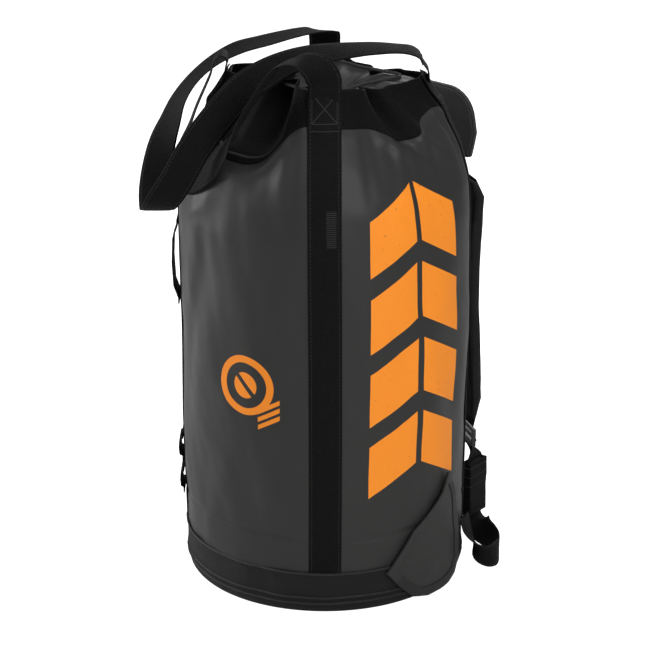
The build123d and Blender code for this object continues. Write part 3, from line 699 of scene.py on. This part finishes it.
def ribbon(name, stations, width, thick, mat, times=6, curl=0.0, level=False):
    C0 = [np.array(s[0], float) for s in stations]
    W0 = [np.array(s[1], float) for s in stations]
    C, W = [], []
    n = len(C0)
    for i in range(n - 1):
        ids = [max(i - 1, 0), i, i + 1, min(i + 2, n - 1)]
        for k in range(times):
            C.append(cat([C0[q] for q in ids], k / times))
            W.append(cat([W0[q] for q in ids], k / times))
    C.append(C0[-1])
    W.append(W0[-1])
    C, W = np.array(C), np.array(W)
    T = np.gradient(C, axis=0)
    T /= np.linalg.norm(T, axis=1)[:, None]
    if level:
        W[:, 2] = 0.0
        W /= np.linalg.norm(W, axis=1)[:, None]
        N = np.cross(np.array([0.0, 0.0, -1.0]), W)
    else:
        W -= T * (W * T).sum(1)[:, None]
        W /= np.linalg.norm(W, axis=1)[:, None]
        N = np.cross(T, W)
    run = np.concatenate([[0], np.cumsum(np.linalg.norm(np.diff(C, axis=0), axis=1))])
    m = 11
    us = np.linspace(-1, 1, m)
    sec = [(u, 1) for u in us] + [(u, -1) for u in us[::-1]]
    V, UV = [], []
    for i in range(len(C)):
        for u, side in sec:
            edge = 1 - 0.75 * abs(u) ** 12
            bend = curl * (u * u - 0.33)
            V.append(C[i] + W[i] * u * width / 2 + N[i] * (side * thick / 2 * edge + bend))
            UV.append((u * width / 2 * MM, run[i] * MM))
    c = len(sec)
    F = grid_faces(len(C), c, False, True)
    F.append(tuple(range(c)))
    F.append(tuple((len(C) - 1) * c + k for k in range(c))[::-1])
    ob = outward(make(name, V, F, mat, UV))
    ob["run_mm"] = float(run[-1])
    return ob


FRONT_HANDLE = [
    ((84.2, -84.2, 659.4), (0.707, 0.707, 0.000)),
    ((84.1, -84.3, 662.0), (0.707, 0.707, 0.000)),
    ((82.2, -86.4, 669.0), (0.680, 0.730, 0.030)),
    ((74.5, -93.5, 679.5), (0.400, 0.900, 0.000)),
    ((61.0, -105.0, 686.0), (0.100, 0.990, 0.060)),
    ((46.0, -118.0, 682.0), (-0.280, 0.950, 0.090)),
    ((36.0, -127.0, 669.0), (-0.360, 0.920, 0.100)),
    ((25.0, -136.0, 648.0), (-0.370, 0.910, 0.140)),
    ((12.0, -145.0, 622.0), (-0.420, 0.900, 0.090)),
    ((2.0, -153.5, 597.0), (-0.560, 0.820, 0.060)),
    ((-13.0, -155.0, 574.0), (-0.820, 0.560, 0.050)),
    ((-34.0, -158.5, 552.0), (-0.930, 0.260, 0.220)),
    ((-59.0, -160.5, 534.0), (-0.680, 0.300, 0.670)),
    ((-85.0, -157.5, 527.0), (-0.050, 0.100, 0.990)),
    ((-109.5, -147.5, 533.0), (0.600, -0.400, 0.690)),
    ((-121.5, -134.0, 551.0), (0.760, -0.600, 0.240)),
    ((-119.5, -117.0, 577.0), (0.740, -0.670, 0.000)),
    ((-111.0, -111.0, 604.0), (0.720, -0.690, 0.000)),
    ((-101.8, -105.2, 628.0), (0.707, -0.707, 0.000)),
    ((-96.5, -99.5, 646.0), (0.707, -0.707, 0.000)),
    ((-94.0, -96.0, 661.5), (0.707, -0.707, 0.000)),
    ((-89.2, -90.4, 669.0), (0.707, -0.707, 0.000)),
    ((-84.8, -84.8, 667.0), (0.707, -0.707, 0.000)),
    ((-83.6, -83.6, 659.4), (0.707, -0.707, 0.000)),
]
REAR_HANDLE = [
    ((83.8, 83.8, 659.4), (-0.707, 0.707, 0.000)),
    ((81.5, 80.5, 668.0), (-0.680, 0.730, 0.030)),
    ((74.0, 72.0, 673.5), (-0.600, 0.800, 0.060)),
    ((61.0, 58.0, 675.5), (-0.580, 0.810, 0.080)),
    ((50.0, 43.0, 676.5), (-0.600, 0.790, 0.140)),
    ((39.0, 22.0, 677.0), (-0.680, 0.700, 0.200)),
    ((27.0, -4.0, 676.5), (-0.760, 0.560, 0.300)),
    ((12.0, -32.0, 674.0), (-0.840, 0.350, 0.400)),
    ((1.0, -60.0, 668.5), (-0.880, 0.100, 0.460)),
    ((-9.0, -88.0, 658.0), (-0.840, -0.200, 0.500)),
    ((-21.0, -116.0, 641.0), (-0.760, -0.450, 0.460)),
    ((-34.0, -144.0, 611.0), (-0.700, -0.600, 0.380)),
    ((-48.0, -172.0, 573.0), (-0.680, -0.660, 0.300)),
    ((-63.0, -189.0, 533.0), (-0.690, -0.690, 0.200)),
    ((-83.0, -196.0, 503.0), (-0.700, -0.700, 0.080)),
    ((-103.0, -187.0, 488.0), (-0.700, -0.700, 0.000)),
    ((-124.0, -171.0, 487.0), (-0.700, -0.700, -0.050)),
    ((-142.0, -156.0, 499.0), (-0.760, -0.640, -0.100)),
    ((-152.0, -143.0, 521.0), (-0.860, -0.500, -0.100)),
    ((-155.0, -131.0, 549.0), (-0.950, -0.300, -0.080)),
    ((-151.0, -120.0, 577.0), (-0.990, 0.000, -0.060)),
    ((-147.5, -108.0, 604.0), (-0.970, 0.240, -0.060)),
    ((-140.5, -90.0, 628.0), (-0.920, 0.380, -0.030)),
    ((-130.5, -64.0, 648.0), (-0.890, 0.450, 0.050)),
    ((-116.5, -35.0, 662.0), (-0.900, 0.400, 0.120)),
    ((-103.0, -4.0, 668.0), (-0.930, 0.360, 0.100)),
    ((-91.0, 26.0, 673.0), (-0.920, 0.400, 0.050)),
    ((-80.0, 50.0, 676.0), (-0.960, 0.270, 0.000)),
    ((-76.0, 66.0, 675.0), (-0.900, -0.250, 0.000)),
    ((-80.0, 78.5, 669.0), (-0.760, -0.600, 0.000)),
    ((-83.8, 83.8, 659.4), (-0.707, -0.707, 0.000)),
]
UPPER_LENGTH = [
    ((92.5, 173.9, 131.2), (0.883, -0.469, 0.000)),
    ((93.6, 173.6, 128.0), (0.860, -0.510, 0.000)),
    ((99.0, 172.2, 124.0), (0.710, -0.700, 0.000)),
    ((105.2, 170.2, 120.0), (0.420, -0.910, 0.000)),
    ((109.2, 169.2, 116.6), (0.200, -0.980, 0.000)),
    ((110.0, 169.0, 113.2), (0.140, -0.990, 0.000)),
]
LOWER_LENGTH = [
    ((110.5, 168.5, 35.4), (0.160, -0.980, 0.000)),
    ((110.7, 168.4, 33.2), (0.170, -0.980, 0.000)),
    ((115.0, 166.5, 29.6), (0.250, -0.950, -0.200)),
    ((125.0, 162.0, 25.5), (0.300, -0.750, -0.600)),
    ((143.0, 156.0, 22.5), (0.150, -0.350, -0.930)),
    ((164.0, 149.0, 21.5), (0.000, -0.100, -1.000)),
    ((182.0, 138.0, 21.5), (0.000, 0.000, -1.000)),
    ((192.0, 124.0, 22.0), (0.000, 0.000, -1.000)),
    ((194.0, 109.0, 25.0), (-0.050, 0.150, -0.980)),
    ((189.0, 96.0, 33.0), (-0.150, 0.400, -0.900)),
    ((179.0, 90.0, 46.0), (-0.300, 0.750, -0.600)),
    ((170.5, 88.0, 60.0), (-0.420, 0.880, -0.220)),
    ((166.0, 87.5, 76.0), (-0.470, 0.880, 0.000)),
]

hf = ribbon("front_carry_loop", FRONT_HANDLE, 40.0, 1.9, M_WEB, curl=0.8)
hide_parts("front_handle")
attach(hf, "front_handle")
hr = ribbon("rear_carry_loop", REAR_HANDLE, 40.0, 1.9, M_WEB, curl=0.8)
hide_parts("rear_handle")
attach(hr, "rear_handle")


def handle_root(name, stations, a):
    """The handle's foot: from the strap's face up to where the loop swings."""
    (x, y, z), w = stations[0]
    top = Vector((x, y, z + 1.0))
    rr = float(body_r(float(rim_z(a)), a)) + 5.2
    px, py = polar(rr + 1.2, a)
    qx, qy = polar(rr + 0.6, a)
    st = [((px + 0.3, py, 636.0), w), ((px, py, 642.0), w), ((qx, qy, 648.5), w), ((x * 0.5 + qx * 0.5, y * 0.5 + qy * 0.5, 654.5), w), (tuple(top), w), ((x, y, z + 4.0), w)]
    ob = ribbon(name, st, 39.6, 1.6, M_WEB, times=3)
    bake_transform(ob)
    return ob


handle_root("front_loop_foot_right", FRONT_HANDLE, -45.0)
handle_root("front_loop_foot_left", FRONT_HANDLE[::-1], -135.0)
handle_root("rear_loop_foot_right", REAR_HANDLE, 45.0)
handle_root("rear_loop_foot_left", REAR_HANDLE[::-1], 135.0)


def mirrored(stations):
    return [((-c[0], c[1], c[2]), (-w[0], w[1], w[2])) for c, w in stations]


for side, f in (("right", lambda s: s), ("left", mirrored)):
    lo = ribbon("slack_webbing_" + side, f(LOWER_LENGTH), 38.0, 1.6, M_WEB, curl=0.5)
    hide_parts("lower_webbing_" + side)
    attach(lo, "bag")
    up = ribbon("short_webbing_" + side, f(UPPER_LENGTH), 36.0, 1.6, M_WEB36, level=True)
    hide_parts("upper_tail_webbing_" + side)
    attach(up, "bag")


# ------------------------------------------------------------------ soft copies of the remaining sewn pieces
def cyl_uv(me, turn=None):
    co = np.array([v.co[:] for v in me.vertices], float).reshape(-1, 3)
    if turn is None:
        u = np.arctan2(co[:, 1], co[:, 0]) * 0.186
        u = u - np.median(u)
    else:
        d = np.array([math.cos(math.radians(turn)), math.sin(math.radians(turn)), 0])
        u = co @ d
        u = u - (u.max() + u.min()) / 2
    uv = np.stack([u, co[:, 2]], 1).astype(np.float32)
    idx = np.zeros(len(me.loops), int)
    me.loops.foreach_get("vertex_index", idx)
    lay = me.uv_layers.get("UVMap") or me.uv_layers.new(name="UVMap")
    for o in list(me.uv_layers):
        if o.name != "UVMap":
            me.uv_layers.remove(o)
    lay = me.uv_layers["UVMap"]
    lay.data.foreach_set("uv", uv[idx].ravel())


def apply_mods(ob):
    bpy.context.view_layer.update()
    dg = bpy.context.evaluated_depsgraph_get()
    me = bpy.data.meshes.new_from_object(ob.evaluated_get(dg))
    ob.modifiers.clear()
    ob.data = me


def refine(me, longest):
    """Splits long edges, so that a flat piece can bend."""
    import bmesh
    bm = bmesh.new()
    bm.from_mesh(me)
    bmesh.ops.remove_doubles(bm, verts=bm.verts, dist=1e-6)
    for _ in range(7):
        bmesh.ops.triangulate(bm, faces=[f for f in bm.faces if len(f.verts) > 3])
        es = [e for e in bm.edges if e.calc_length() > longest]
        if not es:
            break
        bmesh.ops.subdivide_edges(bm, edges=es, cuts=1)
    bmesh.ops.triangulate(bm, faces=[f for f in bm.faces if len(f.verts) > 3])
    bm.to_mesh(me)
    bm.free()


def soft(node, name, mat, slot, body, voxel=0.0, smooth=6, amp=0.0, scale=40.0, seed=0, turn=None, fine=0.006):
    """A sewn piece shaped from the drafted one, its faces gently uneven. Thick ones are remeshed and rounded."""
    src = NODES[node]
    me = src.data.copy()
    ob = bpy.data.objects.new(name, me)
    bpy.context.scene.collection.objects.link(ob)
    for key in list(ob.keys()):
        if key.startswith("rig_"):
            del ob[key]
    if voxel:
        r = ob.modifiers.new("r", "REMESH")
        r.mode = "VOXEL"
        r.voxel_size = voxel
        s = ob.modifiers.new("s", "SMOOTH")
        s.factor, s.iterations = 0.5, smooth
        apply_mods(ob)
    else:
        refine(me, fine)
    me = ob.data
    co = np.zeros(len(me.vertices) * 3, np.float32)
    me.vertices.foreach_get("co", co)
    co = co.reshape(-1, 3).astype(float)
    if amp:
        th = np.degrees(np.arctan2(co[:, 1], co[:, 0]))
        rr = np.hypot(co[:, 0], co[:, 1])
        uu = th * 0.186 * math.pi / 180 * 1000
        k = amp * (vn(uu / scale + 50, co[:, 2] * 1000 / scale + 50, 60 + seed) + 0.5 * vn(uu * 2 / scale + 50, co[:, 2] * 2000 / scale + 50, 80 + seed))
        co[:, 0] += co[:, 0] / rr * k * MM
        co[:, 1] += co[:, 1] / rr * k * MM
    me.vertices.foreach_set("co", co.astype(np.float32).ravel())
    me.update()
    cyl_uv(me, turn)
    me.materials.clear()
    me.materials.append(mat)
    me.polygons.foreach_set("use_smooth", [True] * len(me.polygons))
    if not voxel:
        me.set_sharp_from_angle(angle=math.radians(35))
    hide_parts(node)
    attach(ob, body)
    return ob


def padded_piece(node, name, mat, body, side):
    """Closed cloth over foam: blown up a little so its face domes between the bound edges."""
    src = NODES[node]
    ob = bpy.data.objects.new(name, src.data.copy())
    bpy.context.scene.collection.objects.link(ob)
    for key in list(ob.keys()):
        if key.startswith("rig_"):
            del ob[key]
    r = ob.modifiers.new("r", "REMESH")
    r.mode = "VOXEL"
    r.voxel_size = 0.0050
    apply_mods(ob)
    rest = np.array([v.co[:] for v in ob.data.vertices], float)
    sc = bpy.context.scene
    g = sc.use_gravity
    sc.use_gravity = False
    c = ob.modifiers.new("c", "CLOTH")
    c.settings.quality = 5
    c.settings.mass = 0.3
    c.settings.tension_stiffness = c.settings.compression_stiffness = 12
    c.settings.bending_stiffness = 1.2
    c.settings.use_pressure = True
    c.settings.uniform_pressure_force = 3.0
    c.point_cache.frame_start, c.point_cache.frame_end = 1, 14
    for fr in range(1, 15):
        sc.frame_set(fr)
    apply_mods(ob)
    sc.use_gravity = g
    sc.frame_set(1)
    co = np.array([v.co[:] for v in ob.data.vertices], float)
    dd = co - rest
    ln = np.linalg.norm(dd, axis=1)
    cap = 0.0030
    dd *= np.minimum(1.0, cap / np.maximum(ln, 1e-9))[:, None]
    # never towards the bag
    rad_dir = rest[:, :2] / np.linalg.norm(rest[:, :2], axis=1)[:, None]
    inward = np.minimum(0.0, (dd[:, :2] * rad_dir).sum(1))
    dd[:, :2] -= rad_dir * inward[:, None]
    ob.data.vertices.foreach_set("co", (rest + dd).astype(np.float32).ravel())
    ob.data.update()
    sb = ob.modifiers.new("sb", "SUBSURF")
    sb.levels = sb.render_levels = 1
    apply_mods(ob)
    me = ob.data
    cyl_uv(me)
    me.materials.clear()
    me.materials.append(mat)
    me.polygons.foreach_set("use_smooth", [True] * len(me.polygons))
    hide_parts(node)
    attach(ob, body)
    return ob


soft("gear_loops", "gear_loop_webbing", M_WEB, "webbing", "bag", turn=-135 + 90)
soft("back_panel", "back_panel_cloth", M_BACK, "base_fabric", "bag", voxel=0.0022, smooth=5, amp=0.7, scale=50)
soft("strap_anchor_tape", "anchor_tape", M_WEB, "webbing", "bag")
# the flap's cloth and binding carry painted light in their brightened colours
flap_cloth = soft("flap_panel", "flap_cloth", M_FLAP_PAINTED_LIGHT, "base_fabric", "flap", amp=1.1, scale=42, turn=0)
flap_edge = soft("flap_binding", "flap_edge", M_FLAPTAPE_PAINTED_LIGHT, "binding", "flap", amp=1.1, scale=42, turn=0)
soft("draw_cord", "mouth_draw_cord", M_CORD, "cord", "bag", fine=0.003)
for side, sg in (("right", 1), ("left", -1)):
    padded_piece("shoulder_pad_" + side, "shoulder_pad_cloth_" + side, M_PAD, "shoulder_strap_" + side, sg)
    soft("pad_webbing_" + side, "pad_face_webbing_" + side, M_WEB, "webbing", "shoulder_strap_" + side, turn=152 if sg > 0 else 28)
    soft("webbing_keeper_" + side, "keeper_sleeve_" + side, M_KEEP, "webbing", "bag", turn=-82 if sg > 0 else 82, amp=0.5, scale=18)
    soft("rolled_tail_" + side, "rolled_webbing_" + side, M_WEB, "webbing", "bag", voxel=0.0016, smooth=6, turn=-82 if sg > 0 else 82)
    wc = soft("wing_panel_" + side, "wing_cloth_" + side, M_CLOTH, "tarpaulin", "wing_" + side, amp=1.0, scale=34, seed=3)
    we = soft("wing_binding_" + side, "wing_edge_" + side, M_TAPE, "binding", "wing_" + side, amp=1.0, scale=34, seed=3, fine=0.0035)
    we.data.materials.append(M_CLOTH)
    p0 = Vector((sg * 0.1885, -0.0135, 0.1035))
    line = Vector((0.054 * sg, 0.671, 0.739)).normalized()
    for poly in we.data.polygons:
        q = Vector(poly.center) - p0
        off = (q - line * q.dot(line)).length
        if 0.0022 < off < 0.0165 and q.dot(line) > -0.078:
            poly.material_index = 1

def cut_of(ob):
    """The flat cut of a thin sewn piece: its extent along and across in its own plane, and one face's area."""
    me = ob.data
    co = np.zeros(len(me.vertices) * 3, np.float32)
    me.vertices.foreach_get("co", co)
    co = co.reshape(-1, 3).astype(float)
    co -= co.mean(0)
    ax = np.linalg.svd(co, full_matrices=False)[2]
    ext = [float(np.ptp(co @ ax[k])) for k in (0, 1)]
    area = sum(p.area for p in me.polygons) / 2
    k = max(1.0, area / (ext[0] * ext[1]) + 0.002)
    return (ext[1] * k, ext[0]), area


cut, cut_area = cut_of(flap_cloth)
print("CUT flap", cut, cut_area)
for side in ("right", "left"):
    wc, we = bpy.data.objects["wing_cloth_" + side], bpy.data.objects["wing_edge_" + side]
    cut, cut_area = cut_of(wc)
    print("CUT wing", cut, cut_area)

# moulded pieces keep their drafted shape
for node, mat in (("ladder_buckle_right", M_PLASTIC), ("ladder_buckle_left", M_PLASTIC), ("cord_lock_barrel", M_PLASTIC),
                  ("cord_lock_plunger", M_PLASTIC), ("cord_lock_spring", M_STEEL)):
    NODES[node].data.materials.clear()
    NODES[node].data.materials.append(mat)

# ------------------------------------------------------------------ floor, light, camera
sc = bpy.context.scene


def plane(name, size, loc, rot, color, emit=0.0):
    h = size / 2
    me = bpy.data.meshes.new(name)
    me.from_pydata([(-h, -h, 0), (h, -h, 0), (h, h, 0), (-h, h, 0)], [], [(0, 1, 2, 3)])
    ob = bpy.data.objects.new(name, me)
    sc.collection.objects.link(ob)
    ob.location, ob.rotation_euler = loc, rot
    mt = bpy.data.materials.new(name)
    mt.use_nodes = True
    b = mt.node_tree.nodes["Principled BSDF"]
    b.inputs["Base Color"].default_value = (*color, 1)
    b.inputs["Roughness"].default_value = 0.9
    b.inputs["Specular IOR Level"].default_value = 0.1
    b.inputs["Emission Color"].default_value = (1, 1, 1, 1)
    ray = mt.node_tree.nodes.new("ShaderNodeLightPath")
    gain = mt.node_tree.nodes.new("ShaderNodeMath")
    gain.operation = "MULTIPLY"
    gain.inputs[1].default_value = emit
    mt.node_tree.links.new(ray.outputs["Is Camera Ray"], gain.inputs[0])
    mt.node_tree.links.new(gain.outputs[0], b.inputs["Emission Strength"])
    me.materials.append(mt)
    ob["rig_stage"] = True
    return ob


plane("floor", 200.0, (0, 0, -0.0006), (0, 0, 0), (0.80, 0.80, 0.80), 0.95)

w = bpy.data.worlds.new("studio")
sc.world = w
w.use_nodes = True
nt = w.node_tree
nt.nodes.clear()
out = nt.nodes.new("ShaderNodeOutputWorld")
mixs = nt.nodes.new("ShaderNodeMixShader")
lp = nt.nodes.new("ShaderNodeLightPath")
bg1 = nt.nodes.new("ShaderNodeBackground")
bg2 = nt.nodes.new("ShaderNodeBackground")
bg1.inputs[0].default_value = (1, 1, 1, 1)
bg1.inputs[1].default_value = 0.19
bg2.inputs[0].default_value = (1, 1, 1, 1)
bg2.inputs[1].default_value = 1.3
nt.links.new(lp.outputs["Is Camera Ray"], mixs.inputs[0])
nt.links.new(bg1.outputs[0], mixs.inputs[1])
nt.links.new(bg2.outputs[0], mixs.inputs[2])
nt.links.new(mixs.outputs[0], out.inputs[0])


def area(name, loc, target, size, size_y, power):
    L = bpy.data.lights.new(name, "AREA")
    L.shape = "RECTANGLE"
    L.size, L.size_y, L.energy = size, size_y, power
    ob = bpy.data.objects.new(name, L)
    sc.collection.objects.link(ob)
    ob.location = loc
    ob.rotation_euler = (Vector(target) - Vector(loc)).to_track_quat("-Z", "Y").to_euler()
    return ob


area("left_box", (-2.2, -1.2, 1.0), (0, 0, 0.3), 1.3, 1.6, 46)
area("right_box", (2.4, -0.9, 1.5), (0, 0, 0.35), 1.2, 1.6, 37)
area("top_box", (0.2, -0.2, 2.6), (0, 0, 0.3), 1.8, 1.8, 25)
area("back_box", (-1.2, 2.2, 1.4), (0, 0, 0.3), 1.4, 1.4, 14)

cam_d = bpy.data.cameras.new("camera")
cam = bpy.data.objects.new("camera", cam_d)
sc.collection.objects.link(cam)
cam.location = (1.8385, -1.8385, 1.269)
cam.rotation_euler = (Vector((0.0045, 0.0045, 0.310)) - cam.location).to_track_quat("-Z", "Y").to_euler()
cam_d.lens = 118.8
cam_d.sensor_width = 36
cam_d.dof.use_dof = False
sc.camera = cam
sc.view_settings.view_transform = "Standard"
sc.view_settings.look = "None"

lo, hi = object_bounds()
